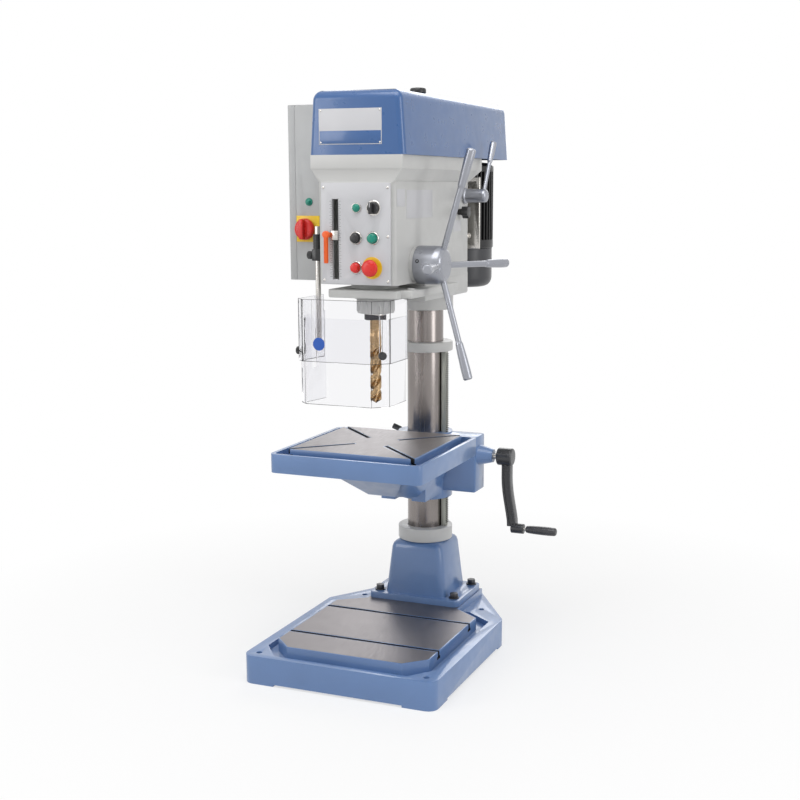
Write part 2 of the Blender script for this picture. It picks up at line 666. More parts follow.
def table():
    half = TABLE_WIDTH / 2
    corners = mirrored([(-half, TABLE_FRONT), (-half, TABLE_REAR)])
    top = plate("table", rounded(corners, TABLE_CORNER), TABLE_RIM_Z - TABLE_RIM_HEIGHT, TABLE_RIM_Z,
                BLUE)
    inner = mirrored([(-half + TABLE_RIM_WALL, TABLE_FRONT + TABLE_RIM_WALL),
                      (-half + TABLE_RIM_WALL, TABLE_REAR - TABLE_RIM_WALL)])
    cut(top, plate("trough", rounded(inner, TABLE_CORNER - TABLE_RIM_WALL / 2),
                   TABLE_TROUGH_FLOOR_Z, TABLE_RIM_Z + 0.01, collection=CUTTERS))
    face = TABLE_TOP_WIDTH / 2
    join(top, hidden(box, "table_face", (-face, TABLE_TOP_FRONT, TABLE_TROUGH_FLOOR_Z - 0.005),
                     (face, TABLE_TOP_REAR, TABLE_TOP_Z)))
    keel = tapered("table_keel", (0.090, 0.290), (0.330, 0.450), 0.500, TABLE_TROUGH_FLOOR_Z - 0.008,
                   collection=CUTTERS, low_at=(0, -0.205), high_at=(0, -0.305))
    for vertex in keel.data.vertices:
        if vertex.co.z < 0.51:
            vertex.co.z = 0.518 if vertex.co.y < -0.2 else 0.452
    low, high = TABLE_RING_Z
    join(top, keel, hidden(drum, "clamp_ring", TABLE_RING_RADIUS, high - low, at=(0, 0, low)))
    neck_front = TABLE_REAR - 0.03
    join(top, hidden(box, "table_neck", (-0.075, neck_front, low + 0.02), (0.075, 0, high - 0.006)))
    join(top, hidden(box, "worm_box", *WORM_BOX, edge=0.006))
    root, tip, length = WORM_BOSS
    join(top, hidden(turned, "worm_boss", [(0, length), (tip, length), (root, 0), (root, -0.02),
                                            (0, -0.02)],
                     at=(WORM_BOX[1][0], 0, CRANK_Z), towards=(1, 0, 0)))
    ear = CLAMP_EAR
    join(top, hidden(box, "clamp_ears", (-ear, 0.050, CLAMP_BOLT_Z - 0.030),
                     (ear, CLAMP_BOLT_Y + 0.018, CLAMP_BOLT_Z + 0.030), edge=0.004))
    for wide, front, floor in KEEL_CAVITIES:
        cut(top, hidden(box, "keel_cavity", (-wide, front, floor), (wide, KEEL_CAVITY_REAR, KEEL_CAVITY_ROOF)))
    cut(top, bore("table_bore", COLUMN_RADIUS + RUN, 0.4, at=(0, 0, low - 0.05)))
    cut(top, hidden(box, "ring_split", (-TABLE_SPLIT / 2, 0.03, low - 0.01),
                    (TABLE_SPLIT / 2, CLAMP_BOLT_Y + 0.03, high + 0.01)))
    cut(top, bore("clamp_hole", CLAMP_BOLT_RADIUS + RUN, 0.1,
                    at=(-0.05, CLAMP_BOLT_Y, CLAMP_BOLT_Z), towards=(1, 0, 0), steps=BORE_SIDES))
    cut(top, rack_slot("rack_way", low - 0.05, high + 0.05))
    pinion = pinion_radius() + TOOTH_HEIGHT
    reach = 0.013
    cut(top, bore("pinion_pocket", pinion, 2 * reach, at=(PINION_X, -reach, PINION_Z),
                    towards=(0, 1, 0)))
    cut(top, bore("pinion_bore", 0.008 + RUN, 0.2, at=(PINION_X, -0.030, PINION_Z),
                    towards=(0, 1, 0), steps=BORE_SIDES))
    cut(top, bore("worm_bore", CRANK_SHAFT_RADIUS + RUN, 0.3,
                    at=(COLUMN_RADIUS + 0.012, 0, CRANK_Z), towards=(1, 0, 0), steps=SHAFT_SIDES))
    centre = Vector((0, (TABLE_TOP_FRONT + TABLE_TOP_REAR) / 2, 0))
    for sx in (-1, 1):
        for y in (TABLE_TOP_FRONT, TABLE_TOP_REAR):
            corner = Vector((sx * face, y, 0))
            along = (corner - centre).normalized()
            angle = math.atan2(along.y, along.x)
            start = centre + along * TABLE_SLOT_INNER
            run = (corner - start).length + 0.004
            for width, floor, roof in ((SLOT_WIDTH, TABLE_TOP_Z - SLOT_DEPTH, TABLE_TOP_Z + 0.01),
                                       (2 * SLOT_WIDTH, TABLE_TOP_Z - SLOT_DEPTH - 0.006,
                                        TABLE_TOP_Z - SLOT_DEPTH + 0.001)):
                groove = hidden(box, "table_slot", (0, -width / 2, floor), (run, width / 2, roof))
                groove.location = (start.x, start.y, 0)
                groove.rotation_euler.z = angle
                cut(top, groove)
    use_manifold(top)


def table_clamp_lever():
    pivot = (0, CLAMP_BOLT_Y, CLAMP_BOLT_Z)
    bolt = drum("table_clamp_lever", CLAMP_BOLT_RADIUS, 0.090, CRANK_GREY, at=(-0.060, *pivot[1:]),
                towards=(1, 0, 0), steps=BORE_SIDES)
    thick = 0.026
    hub = hidden(drum, "clamp_hub", 0.014, thick, at=(-CLAMP_EAR - GAP - thick, *pivot[1:]),
                 towards=(1, 0, 0), steps=SHAFT_SIDES)
    tip = Vector((-0.150, CLAMP_BOLT_Y - 0.020, CLAMP_BOLT_Z + 0.050))
    root = Vector((-0.036, *pivot[1:]))
    arm = hidden(drum, "clamp_arm", 0.0055, (tip - root).length - 0.004, at=root, towards=tip - root,
                 steps=BORE_SIDES)
    grip = hidden(drum, "clamp_grip", 0.0095, 0.034, at=tip, towards=root - tip,
                  steps=BORE_SIDES, chamfer=0.002)
    nut = hidden(drum, "clamp_nut", 0.013, 0.010, at=(CLAMP_EAR + GAP, *pivot[1:]),
                 towards=(1, 0, 0), steps=6)
    join(bolt, hub, arm, grip, nut)


def lift_drive():
    gear("lift_pinion", (-0.011, 0.011), (PINION_X, 0, PINION_Z), DARK_STEEL, (0, 1, 0),
         shaft=(-0.028, 0.044, 0.008))
    start = PINION_X - 0.012
    end = CRANK_HUB[1] - 0.006
    waist = PINION_X + 0.030
    r, root = CRANK_SHAFT_RADIUS, WORM_ROOT_RADIUS
    turned("crank_shaft", [(0, end - start), (r, end - start), (r, waist - start),
                           (root, waist - start - 0.004), (root, 0), (0, 0)],
           STEEL, at=(start, 0, CRANK_Z), towards=(1, 0, 0), steps=SHAFT_SIDES)
    low_x, high_x, hub_r = CRANK_HUB
    axis_z = CRANK_Z
    hub = drum("crank_arm", hub_r, high_x - low_x, CRANK_GREY, at=(low_x, 0, axis_z),
               towards=(1, 0, 0), chamfer=0.003)
    foot_low, foot_high, boss_r = CRANK_BOSS
    boss = hidden(drum, "crank_boss", boss_r, foot_high - foot_low,
                  at=(foot_low, 0, axis_z - CRANK_DROP), towards=(1, 0, 0), steps=SHAFT_SIDES)
    web = [(x, axis_z - drop) for x, drop in CRANK_ARM_BEND]   # x and drop down the arm's inner side
    back = [(x + CRANK_ARM_THICKNESS, z) for x, z in reversed(web)]
    turn = Matrix(((1, 0, 0), (0, 0, -1), (0, 1, 0))).to_quaternion()
    arm = plate("crank_web", web + back, -CRANK_ARM_WIDTH / 2, CRANK_ARM_WIDTH / 2,
                collection=CUTTERS, turn=turn)
    join(hub, boss, arm)
    cut(hub, bore("crank_bore", CRANK_SHAFT_RADIUS + GAP, end + GAP - low_x + 0.010,
                  at=(low_x - 0.010, 0, axis_z), towards=(1, 0, 0), steps=SHAFT_SIDES))
    cut(hub, bore("grip_bore", 0.006 + RUN, 0.03, at=(foot_high - 0.026, 0, axis_z - CRANK_DROP),
                    towards=(1, 0, 0), steps=BORE_SIDES))
    low, high, grip_r = CRANK_GRIP
    pin = low - foot_high + 0.022
    turned("crank_grip", [(0, high - low), (grip_r - 0.004, high - low), (grip_r - 0.001, high - low - 0.004),
                          (grip_r, 0.060), (grip_r - 0.002, 0.004), (grip_r - 0.004, 0), (0.006, 0),
                          (0.006, -pin), (0, -pin)],
           CRANK_GREY, at=(low, 0, axis_z - CRANK_DROP), towards=(1, 0, 0), steps=SHAFT_SIDES)


# ---------------------------------------------------------------- head


def head_casting():
    half = HEAD_WIDTH / 2
    body_outline = rounded(mirrored([(-half, HEAD_FRONT), (-half, HEAD_REAR)]), HEAD_CORNER)
    head = plate("head_casting", body_outline, HEAD_BOTTOM_Z, HEAD_WAIST_Z + 0.002, GREY)
    wide = TRAY_WIDTH / 2
    step = 0.0007                      # keeps the faces of joined shapes out of one plane
    flare = tapered("flare", (HEAD_WIDTH - 0.006, HEAD_REAR - HEAD_FRONT - 2 * step),
                    (TRAY_WIDTH - step, TRAY_REAR - HEAD_FRONT - step), HEAD_WAIST_Z, TRAY_SHOULDER_Z + step,
                    collection=CUTTERS, low_at=(0, (HEAD_REAR + HEAD_FRONT) / 2),
                    high_at=(0, (TRAY_REAR + HEAD_FRONT) / 2))
    tray = hidden(box, "tray", (-wide, HEAD_FRONT - step, TRAY_SHOULDER_Z), (wide, TRAY_REAR, TRAY_TOP_Z))
    saddle = hidden(box, "saddle", (-half + step, SADDLE_FRONT, SADDLE_BOTTOM_Z),
                    (half - step, HEAD_REAR - step, HEAD_BOTTOM_Z + 0.008), edge=0.006)
    sole = hidden(box, "sole", (-SOLE_HALF_WIDTH, SOLE_FRONT, SOLE_Z[0]),
                  (half - 3 * step, SADDLE_FRONT + 0.02, SOLE_Z[1]), edge=0.004)
    ledge = hidden(box, "ledge", (half - 0.02, SOLE_FRONT + 0.03, SOLE_Z[0] + step),
                   (LEDGE_RIGHT, -0.10, SOLE_Z[1] - step), edge=0.004)
    housing = hidden(drum, "quill_housing", 0.070, HEAD_BOTTOM_Z - SOLE_Z[0] + 0.002, at=(0, SPINDLE_Y, SOLE_Z[0] + step))
    neck = hidden(drum, "neck", NECK_RADIUS, SADDLE_BOTTOM_Z - NECK_Z[0] + 0.01, at=(0, 0, NECK_Z[0]), chamfer=0.003)
    join(head, flare, tray, saddle, sole, ledge, housing, neck)
    wall = HEAD_WALL
    cavity = hidden(box, "head_cavity", (-half + wall, HEAD_FRONT + BAY_DEPTH + wall, HEAD_BOTTOM_Z + 0.020),
                    (half - wall, -0.085, TRAY_TOP_Z + 0.01))
    tray_cavity = hidden(box, "tray_cavity", (-wide + wall, HEAD_FRONT + wall, TRAY_SHOULDER_Z),
                         (wide - wall, TRAY_REAR - wall, TRAY_TOP_Z + 0.01))
    cut(head, cavity, tray_cavity)
    sleeve = hidden(drum, "quill_sleeve", SLEEVE_RADIUS, SLEEVE_TOP_Z - HEAD_BOTTOM_Z - 0.004,
                    at=(0, SPINDLE_Y, HEAD_BOTTOM_Z + 0.004))
    spring = hidden(drum, "spring_boss", SPRING_CASE[2] + 0.012, half - 0.001 - 0.055, at=(0.055, FEED_Y, FEED_Z),
                    towards=(1, 0, 0))
    boss_radius, boss_height = FEED_BOSS
    boss = hidden(drum, "feed_boss", boss_radius, boss_height + 0.004, at=(half - 0.004, FEED_Y, FEED_Z),
                  towards=(1, 0, 0))
    join(head, sleeve, spring, boss)
    cut(head, bore("quill_bore", QUILL_RADIUS + RUN, 0.5, at=(0, SPINDLE_Y, SOLE_Z[0] - 0.01)))
    rack_low, rack_high = FEED_RACK_X
    cut(head, hidden(box, "quill_rack_way", (0, SPINDLE_Y - 0.016 - RUN, SOLE_Z[0] - 0.01),
                     (rack_high + RUN, SPINDLE_Y + 0.004 + RUN, SLEEVE_TOP_Z + 0.02)))
    reach = pinion_radius() + TOOTH_HEIGHT
    cut(head, bore("feed_pocket", reach, SPRING_CASE[0] - rack_low + 0.03 + 0.01,
                     at=(rack_low - 0.002, FEED_Y, FEED_Z), towards=(1, 0, 0)))
    cut(head, bore("spring_pocket", SPRING_CASE[2] + GAP, 0.1,
                     at=(SPRING_CASE[0] - GAP, FEED_Y, FEED_Z), towards=(1, 0, 0)))
    half_panel = PANEL_WIDTH / 2
    cut(head, hidden(box, "bay", (-half_panel + 0.012, HEAD_FRONT - 0.01, PANEL_Z[0] + 0.014),
                     (half_panel - 0.012, HEAD_FRONT + BAY_DEPTH, PANEL_Z[1] - 0.025)))
    cut(head, bore("column_bore", COLUMN_RADIUS + GAP, COLUMN_TOP - NECK_Z[0] + 0.02,
                     at=(0, 0, NECK_Z[0] - 0.01)))
    for x in (-GUIDE_ROD_X, GUIDE_ROD_X):
        for z in GUIDE_ROD_ZS:
            cut(head, bore("guide_bore", GUIDE_ROD_RADIUS + RUN, 0.09, at=(x, HEAD_REAR - 0.08, z),
                             towards=(0, 1, 0), steps=BORE_SIDES))
    cut(head, bore("tension_bore", 0.009 + RUN, 0.020, at=(half - 0.008, TENSION_Y, TENSION_Z),
                     towards=(1, 0, 0), steps=BORE_SIDES))
    cut(head, bore("knob_bore", 0.006 + RUN, 0.020, at=(half - 0.008, TENSION_KNOB[2], TENSION_KNOB[3]),
                     towards=(1, 0, 0), steps=BORE_SIDES))
    use_manifold(head)


def control_panel():
    """The front panel, with a slot for the depth stop and a hole for each control."""
    front = HEAD_FRONT - GAP
    half = PANEL_WIDTH / 2
    panel = box("control_panel", (-half, front - PANEL_THICKNESS, PANEL_Z[0]), (half, front, PANEL_Z[1]), PANEL,
                edge=0.001)
    cut(panel, hidden(box, "stop_slot", (SLOT_X[0], front - 0.02, SLOT_Z[0]), (SLOT_X[1], front + 0.02, SLOT_Z[1])))
    for x, z in (SELECTOR, JOG, START, STOP, ESTOP):
        cut(panel, bore("control_hole", STEM_RADIUS + RUN, 0.04, at=(x, front - 0.02, z), towards=(0, 1, 0),
                          steps=SHAFT_SIDES))


def control(name, place, head_radius, head_length, finish, start=None, extra=()):
    """A control that stands out of the panel at the front, with its stem through the hole."""
    x, z = place
    face = HEAD_FRONT - GAP - PANEL_THICKNESS - (BUTTON_STROKE + 0.001 if start is None else start)
    profile = [(0, head_length), (head_radius - 0.0015, head_length), (head_radius, head_length - 0.0015),
               (head_radius, 0), (STEM_RADIUS, 0), (STEM_RADIUS, -0.024), (0, -0.024)]
    made = turned(name, profile, finish, at=(x, face, z), towards=(0, -1, 0), steps=KNOB_SIDES)
    join(made, *extra)
    return made


def controls():
    control("start_button", START, BUTTON_RADIUS, 0.013, GREEN)
    control("jog_button", JOG, BUTTON_RADIUS, 0.013, BLACK)
    control("stop_button", STOP, BUTTON_RADIUS, 0.013, RED)
    control("estop_button", ESTOP, ESTOP_RADIUS, 0.022, RED)
    x, z = SELECTOR
    face = HEAD_FRONT - GAP - PANEL_THICKNESS - 0.001
    bar = hidden(box, "selector_bar", (x - 0.004, face - 0.026, z - SELECTOR_RADIUS), (x + 0.004, face - 0.008, z + SELECTOR_RADIUS),
                 edge=0.001)
    control("selector_switch", SELECTOR, SELECTOR_RADIUS, 0.012, BLACK, 0.001, [bar])
    x = (SLOT_X[0] + SLOT_X[1]) / 2
    half = (SLOT_X[1] - SLOT_X[0]) / 2
    outside = HEAD_FRONT - GAP - PANEL_THICKNESS
    z = DEPTH_STOP_Z
    stop = box("depth_stop", (x - half - 0.002, outside - 0.008, z - 0.013), (x + half + 0.002, outside - GAP, z + 0.013),
               STEEL, pivot=(x, outside, z), edge=0.001)
    join(stop, hidden(box, "stop_tongue", (x - half + RUN, outside - 0.004, z - 0.011), (x + half - RUN, outside + 0.016, z + 0.011)),
         hidden(box, "stop_arm", (x - 0.030, outside - 0.008, z - 0.006), (x, outside - 0.003, z + 0.008)))
    pivot = (x - 0.023, outside - 0.008 - GAP, z + 0.002)
    lever = turned("depth_lever", [(0, 0.012), (0.009, 0.012), (0.010, 0.011), (0.010, 0), (0, 0)], ORANGE, at=pivot,
                   towards=(0, -1, 0), steps=SHAFT_SIDES)
    arm = hidden(box, "lever_arm", (pivot[0] - 0.0055, pivot[1] - 0.0115, z - 0.078), (pivot[0] + 0.0055, pivot[1] - 0.001, z + 0.002),
                 edge=0.002)
    join(lever, arm)


def cabinet():
    """Sheet-metal box on the head's left side, open towards its door."""
    left, right = CABINET_X
    front, rear = CABINET_Y
    low, high = CABINET_Z
    wall = CABINET_WALL
    shell = box("cabinet", (left, front, low), (right, rear, high), CABINET)
    cut(shell, hidden(box, "cabinet_inside", (left - 0.01, front + wall, low + wall), (right - wall, rear - wall, high - wall)))
    x, z = ISOLATOR
    cut(shell, bore("isolator_hole", STEM_RADIUS + RUN, 0.03, at=(x, front - 0.015, z), towards=(0, 1, 0), steps=SHAFT_SIDES))
    near, far = CABINET_SPACER
    join(shell, hidden(box, "cabinet_spacer", (right - 0.001, near[0], near[1]), (-HEAD_WIDTH / 2 - GAP, far[0], far[1])))
    join(shell, hidden(drum, "cable_inlet", 0.014, 0.018, at=(-0.220, 0.040, low - 0.0175), steps=BORE_SIDES))
    door = box("cabinet_door", (left - GAP - DOOR_DEPTH, front, low), (left - GAP, rear, high), CABINET,
               pivot=(left - GAP, rear, 0))
    cut(door, hidden(box, "door_inside", (left - GAP - DOOR_DEPTH + wall, front + wall, low + wall),
                     (left + 0.01, rear - wall, high - wall)))
    handle = turned("isolator_handle", [(0, 0.016), (ISOLATOR_RADIUS - 0.003, 0.016), (ISOLATOR_RADIUS, 0.013),
                                         (ISOLATOR_RADIUS, 0), (STEM_RADIUS, 0), (STEM_RADIUS, -0.020), (0, -0.020)],
                    RED, at=(x, front - 0.004, z), towards=(0, -1, 0), steps=KNOB_SIDES)
    join(handle, hidden(box, "isolator_bar", (x - 0.006, front - 0.036, z - 0.030), (x + 0.006, front - 0.012, z + 0.030),
                        edge=0.002))


def belt_cover():
    """Lift-off hood: an open shell, tapered and rounded along its top edges."""
    bm = bmesh.new()
    bmesh.ops.create_cube(bm, size=1.0)
    low, high = COVER_Z
    for vertex in bm.verts:
        top = vertex.co.z > 0
        half = (COVER_TOP_WIDTH if top else COVER_WIDTH) / 2
        vertex.co = (
            math.copysign(half, vertex.co.x),
            COVER_FRONT if vertex.co.y < 0 else COVER_REAR,
            high if top else low,
        )
    bm.faces.ensure_lookup_table()
    floor = min(bm.faces, key=lambda face: face.calc_center_median().z)
    bmesh.ops.delete(bm, geom=[floor], context="FACES_ONLY")
    uprights = [e for e in bm.edges if abs(e.verts[0].co.z - e.verts[1].co.z) > 0.05]
    bmesh.ops.bevel(bm, geom=uprights, offset=0.018, segments=3, profile=0.5, affect="EDGES", material=-1)
    roof = [e for e in bm.edges if all(v.co.z > high - 0.001 for v in e.verts)]
    bmesh.ops.bevel(bm, geom=roof, offset=0.026, segments=4, profile=0.5, affect="EDGES", material=-1)
    cover = add("belt_cover", mesh_of(bm, "belt_cover", smooth=True), COVER_BLUE)
    shell = cover.modifiers.new("wall", "SOLIDIFY")
    shell.thickness = COVER_WALL
    shell.offset = -1
    radius, tall, y = COVER_KNOB
    cut(cover, bore("knob_hole", 0.006 + RUN, 0.05, at=(0, y, high - 0.03), steps=BORE_SIDES))
    use_manifold(cover)
    turned("cover_knob", [(0, tall), (radius - 0.004, tall), (radius, tall - 0.006), (radius, 0.008),
                          (radius - 0.008, 0), (0.006, 0), (0.006, -0.018), (0, -0.018)],
           BLACK, at=(0, y, high + GAP), steps=SHAFT_SIDES)


# ---------------------------------------------------------------- spindle, quill and feed


def quill_group():
    low, high = QUILL_Z
    axis = (0, SPINDLE_Y, 0)
    quill = ring("quill", QUILL_BORE, QUILL_RADIUS, high - low, STEEL, at=(0, SPINDLE_Y, low))
    rack_low, rack_high = FEED_RACK_X
    pitch_y = FEED_Y - pinion_radius()
    root_y, face_y = pitch_y - TOOTH_HEIGHT / 2, pitch_y + TOOTH_HEIGHT / 2
    start = FEED_Z - QUILL_TRAVEL * 0.25
    end = FEED_Z + QUILL_TRAVEL + 0.020
    slope = math.tan(math.radians(20)) * TOOTH_HEIGHT / 2
    half = TOOTH_THICKNESS / 2
    outline = [(pitch_y - 0.008, start - 0.004), (root_y, start - 0.004)]
    below = int((FEED_Z - start) / TOOTH_PITCH)
    total = int((end - start) / TOOTH_PITCH)
    for i in range(total):
        middle = FEED_Z + (i - below) * TOOTH_PITCH
        outline += [(root_y, middle - half - slope), (face_y, middle - half + slope),
                    (face_y, middle + half - slope), (root_y, middle + half + slope)]
    outline += [(root_y, end + 0.004), (pitch_y - 0.008, end + 0.004)]
    bar = side_plate("quill_rack", outline, rack_low, rack_high, collection=CUTTERS)
    web = hidden(box, "rack_web", (QUILL_RADIUS - 0.004, SPINDLE_Y - 0.014, start - 0.004),
                 (rack_high - 0.0005, pitch_y - 0.0055, end + 0.004))
    join(quill, web, bar)
    radius, low, high = QUILL_COLLAR
    collar = ring("quill_collar", QUILL_RADIUS + GAP, radius - 0.002, high - low, GREY, at=(0, SPINDLE_Y, low))
    ribs = []
    for i in range(2 * QUILL_COLLAR_RIBS):
        angle = math.pi * i / QUILL_COLLAR_RIBS
        for turn in (0.15, 0.85):
            r = radius if i % 2 == 0 else radius - 0.003
            a = angle + turn * math.pi / QUILL_COLLAR_RIBS
            ribs.append((r * math.cos(a), r * math.sin(a)))
    crown = plate("collar_ribs", ribs, low + 0.004, high - 0.004, collection=CUTTERS, at=axis)
    cut(crown, bore("rib_bore", QUILL_RADIUS + 0.010, 0.1, at=(0, SPINDLE_Y, low - 0.02)))
    join(collar, crown)
    for name, z in (("lower_bearing", QUILL_Z[0] + 0.006), ("upper_bearing", SPINDLE_SHOULDER_Z - 0.030)):
        ring(name, SPINDLE_RADIUS + GAP, QUILL_BORE - GAP, 0.018, DARK_STEEL, at=(0, SPINDLE_Y, z), chamfer=0.001)
    base = NOSE_Z[0]
    top, bottom = SHANK_RADIUS[1] + GAP, SHANK_RADIUS[0] + GAP
    bore_top = base + SHANK_LENGTH + 0.004
    spindle = [(0, SPINDLE_TOP_Z), (DRIVE_RADIUS - 0.002, SPINDLE_TOP_Z), (DRIVE_RADIUS, SPINDLE_TOP_Z - 0.002),
               (DRIVE_RADIUS, SPINDLE_SHOULDER_Z), (SPINDLE_RADIUS, SPINDLE_SHOULDER_Z),
               (SPINDLE_RADIUS, NOSE_Z[1]), (NOSE_RADIUS, NOSE_Z[1]), (NOSE_RADIUS, base + 0.002),
               (NOSE_RADIUS - 0.002, base), (bottom, base), (top, bore_top), (0, bore_top)]
    turned("spindle", [(r, z - base) for r, z in spindle], STEEL, at=(0, SPINDLE_Y, base))
    drill_bit()


def drill_bit():
    """Taper-shank twist drill: two flutes wound round a pointed bar."""
    length = NOSE_Z[0] - DRILL_TIP_Z
    point = DRILL_RADIUS * 0.6
    profile = [(0, length + SHANK_LENGTH), (SHANK_RADIUS[1], length + SHANK_LENGTH), (SHANK_RADIUS[0], length),
               (DRILL_RADIUS - 0.001, length - 0.004), (DRILL_RADIUS - 0.001, length - 0.045),
               (DRILL_RADIUS, length - 0.047), (DRILL_RADIUS, point), (0, 0)]
    drill = turned("drill_bit", profile, GOLD, at=(0, SPINDLE_Y, DRILL_TIP_Z), steps=SHAFT_SIDES)
    rise = length - 0.055
    for side in (0, math.pi):
        curve = bpy.data.curves.new("flute", "CURVE")
        curve.dimensions = "3D"
        curve.bevel_depth = DRILL_RADIUS * 0.48
        curve.bevel_resolution = 1
        curve.use_fill_caps = True
        spline = curve.splines.new("POLY")
        count = 30
        spline.points.add(count - 1)
        for i, point in enumerate(spline.points):
            part = i / (count - 1)
            angle = side + part * 2 * math.pi * 2.1
            radius = DRILL_RADIUS * (0.78 + 0.5 * max(0.0, part - 0.92) / 0.08)
            point.co = (radius * math.cos(angle), radius * math.sin(angle), -0.012 + part * rise, 1)
        drawn = bpy.data.objects.new("flute_path", curve)
        PARTS.objects.link(drawn)
        graph = bpy.context.evaluated_depsgraph_get()
        mesh = bpy.data.meshes.new_from_object(drawn.evaluated_get(graph))
        bpy.data.objects.remove(drawn)
        bm = bmesh.new()
        bm.from_mesh(mesh)
        bmesh.ops.remove_doubles(bm, verts=bm.verts, dist=0.00001)
        bmesh.ops.recalc_face_normals(bm, faces=bm.faces)
        bm.to_mesh(mesh)
        bm.free()
        cut(drill, add("drill_flute", mesh, None, CUTTERS, at=(0, SPINDLE_Y, DRILL_TIP_Z)))


def feed_group():
    """Feed shaft with its pinion, the return spring in its case, the hub and the levers."""
    axis = (1, 0, 0)
    low, high = FEED_PINION_X
    hub_radius, hub_end = FEED_HUB
    gear("feed_shaft", (low, high), (0, FEED_Y, FEED_Z), STEEL, axis, shaft=(low, hub_end - 0.012, FEED_SHAFT_RADIUS))
    case_low, case_high, case_radius = SPRING_CASE
    wall = 0.003
    hole = clear(FEED_SHAFT_RADIUS + RUN)
    turned("spring_case", [(hole, case_high - case_low), (case_radius, case_high - case_low), (case_radius, 0),
                           (case_radius - wall, 0), (case_radius - wall, case_high - case_low - wall),
                           (hole, case_high - case_low - wall)],
           DARK_STEEL, at=(case_low, FEED_Y, FEED_Z), towards=axis, closed=True)
    turns, band, count = 3.5, 0.0012, 40
    inner = hole + 0.002
    outer = (case_radius - wall) * math.cos(math.pi / ROUND_SIDES) - band - GAP
    spiral = []
    for i in range(count + 1):
        angle = 2 * math.pi * turns * i / count
        radius = inner + (outer - inner) * i / count
        spiral.append((radius, angle))
    path = [(r * math.cos(a), r * math.sin(a)) for r, a in spiral]
    back = [((r + band) * math.cos(a), (r + band) * math.sin(a)) for r, a in reversed(spiral)]
    turn = Vector((0, 0, 1)).rotation_difference(Vector(axis))
    plate("return_spring", path + back, case_low + 0.004, case_high - wall - 0.004, DARK_STEEL,
          at=(0, FEED_Y, FEED_Z), turn=turn)
    start = HEAD_WIDTH / 2 + FEED_BOSS[1] + GAP
    length = hub_end - start
    barrel = [(0, length)]
    for along, inset in HUB_SHOULDER:
        barrel.append((hub_radius - inset, length - along))
    barrel += [(hub_radius, 0), (0, 0)]
    hub = turned("feed_hub", barrel, LEVER_GREY, at=(start, FEED_Y, FEED_Z), towards=axis)
    cut(hub, bore("hub_bore", FEED_SHAFT_RADIUS + GAP, length - 0.010, at=(start - 0.001, FEED_Y, FEED_Z),
                    towards=axis, steps=SHAFT_SIDES))
    grip_length, grip_inner, grip_outer = LEVER_GRIP
    for i in range(4):
        angle = LEVER_TURN + math.pi / 2 * i
        radial = Vector((0, -math.sin(angle), math.cos(angle)))
        along = (radial * math.cos(LEVER_CONE) + Vector(axis) * math.sin(LEVER_CONE)).normalized()
        root = Vector((LEVER_ROOT_X, FEED_Y, FEED_Z)) + radial * LEVER_ROOT_RADIUS
        tip = LEVER_LENGTH
        lever = [(0, tip), (grip_outer - 0.004, tip), (grip_outer, tip - 0.005), (grip_inner, tip - grip_length),
                 (LEVER_ROD_RADIUS, tip - grip_length - 0.003), (LEVER_ROD_RADIUS, 0), (0, 0)]
        turned(f"feed_lever_{i + 1}", lever, LEVER_GREY, at=root, towards=along, steps=HANDLE_SIDES)
        cut(hub, bore("lever_bore", LEVER_ROD_RADIUS + GAP, 0.060, at=root - along * GAP, towards=along,
                        steps=HANDLE_SIDES))


# ---------------------------------------------------------------- motor and belt drive


def step_pulley(name, radii, hole, centre):
    """Three belt steps, the widest at the top or the bottom."""
    low, high = PULLEY_Z
    step = (high - low) / len(radii)
    profile = []
    for i, radius in enumerate(reversed(radii)):
        top = high - low - i * step
        profile += [(radius, top), (radius, top - 0.003), (radius - 0.006, top - step / 2), (radius, top - step + 0.003)]
    profile += [(radii[0], 0), (clear(hole), 0), (clear(hole), high - low)]
    return turned(name, profile, DARK_STEEL, at=(*centre, low), closed=True)


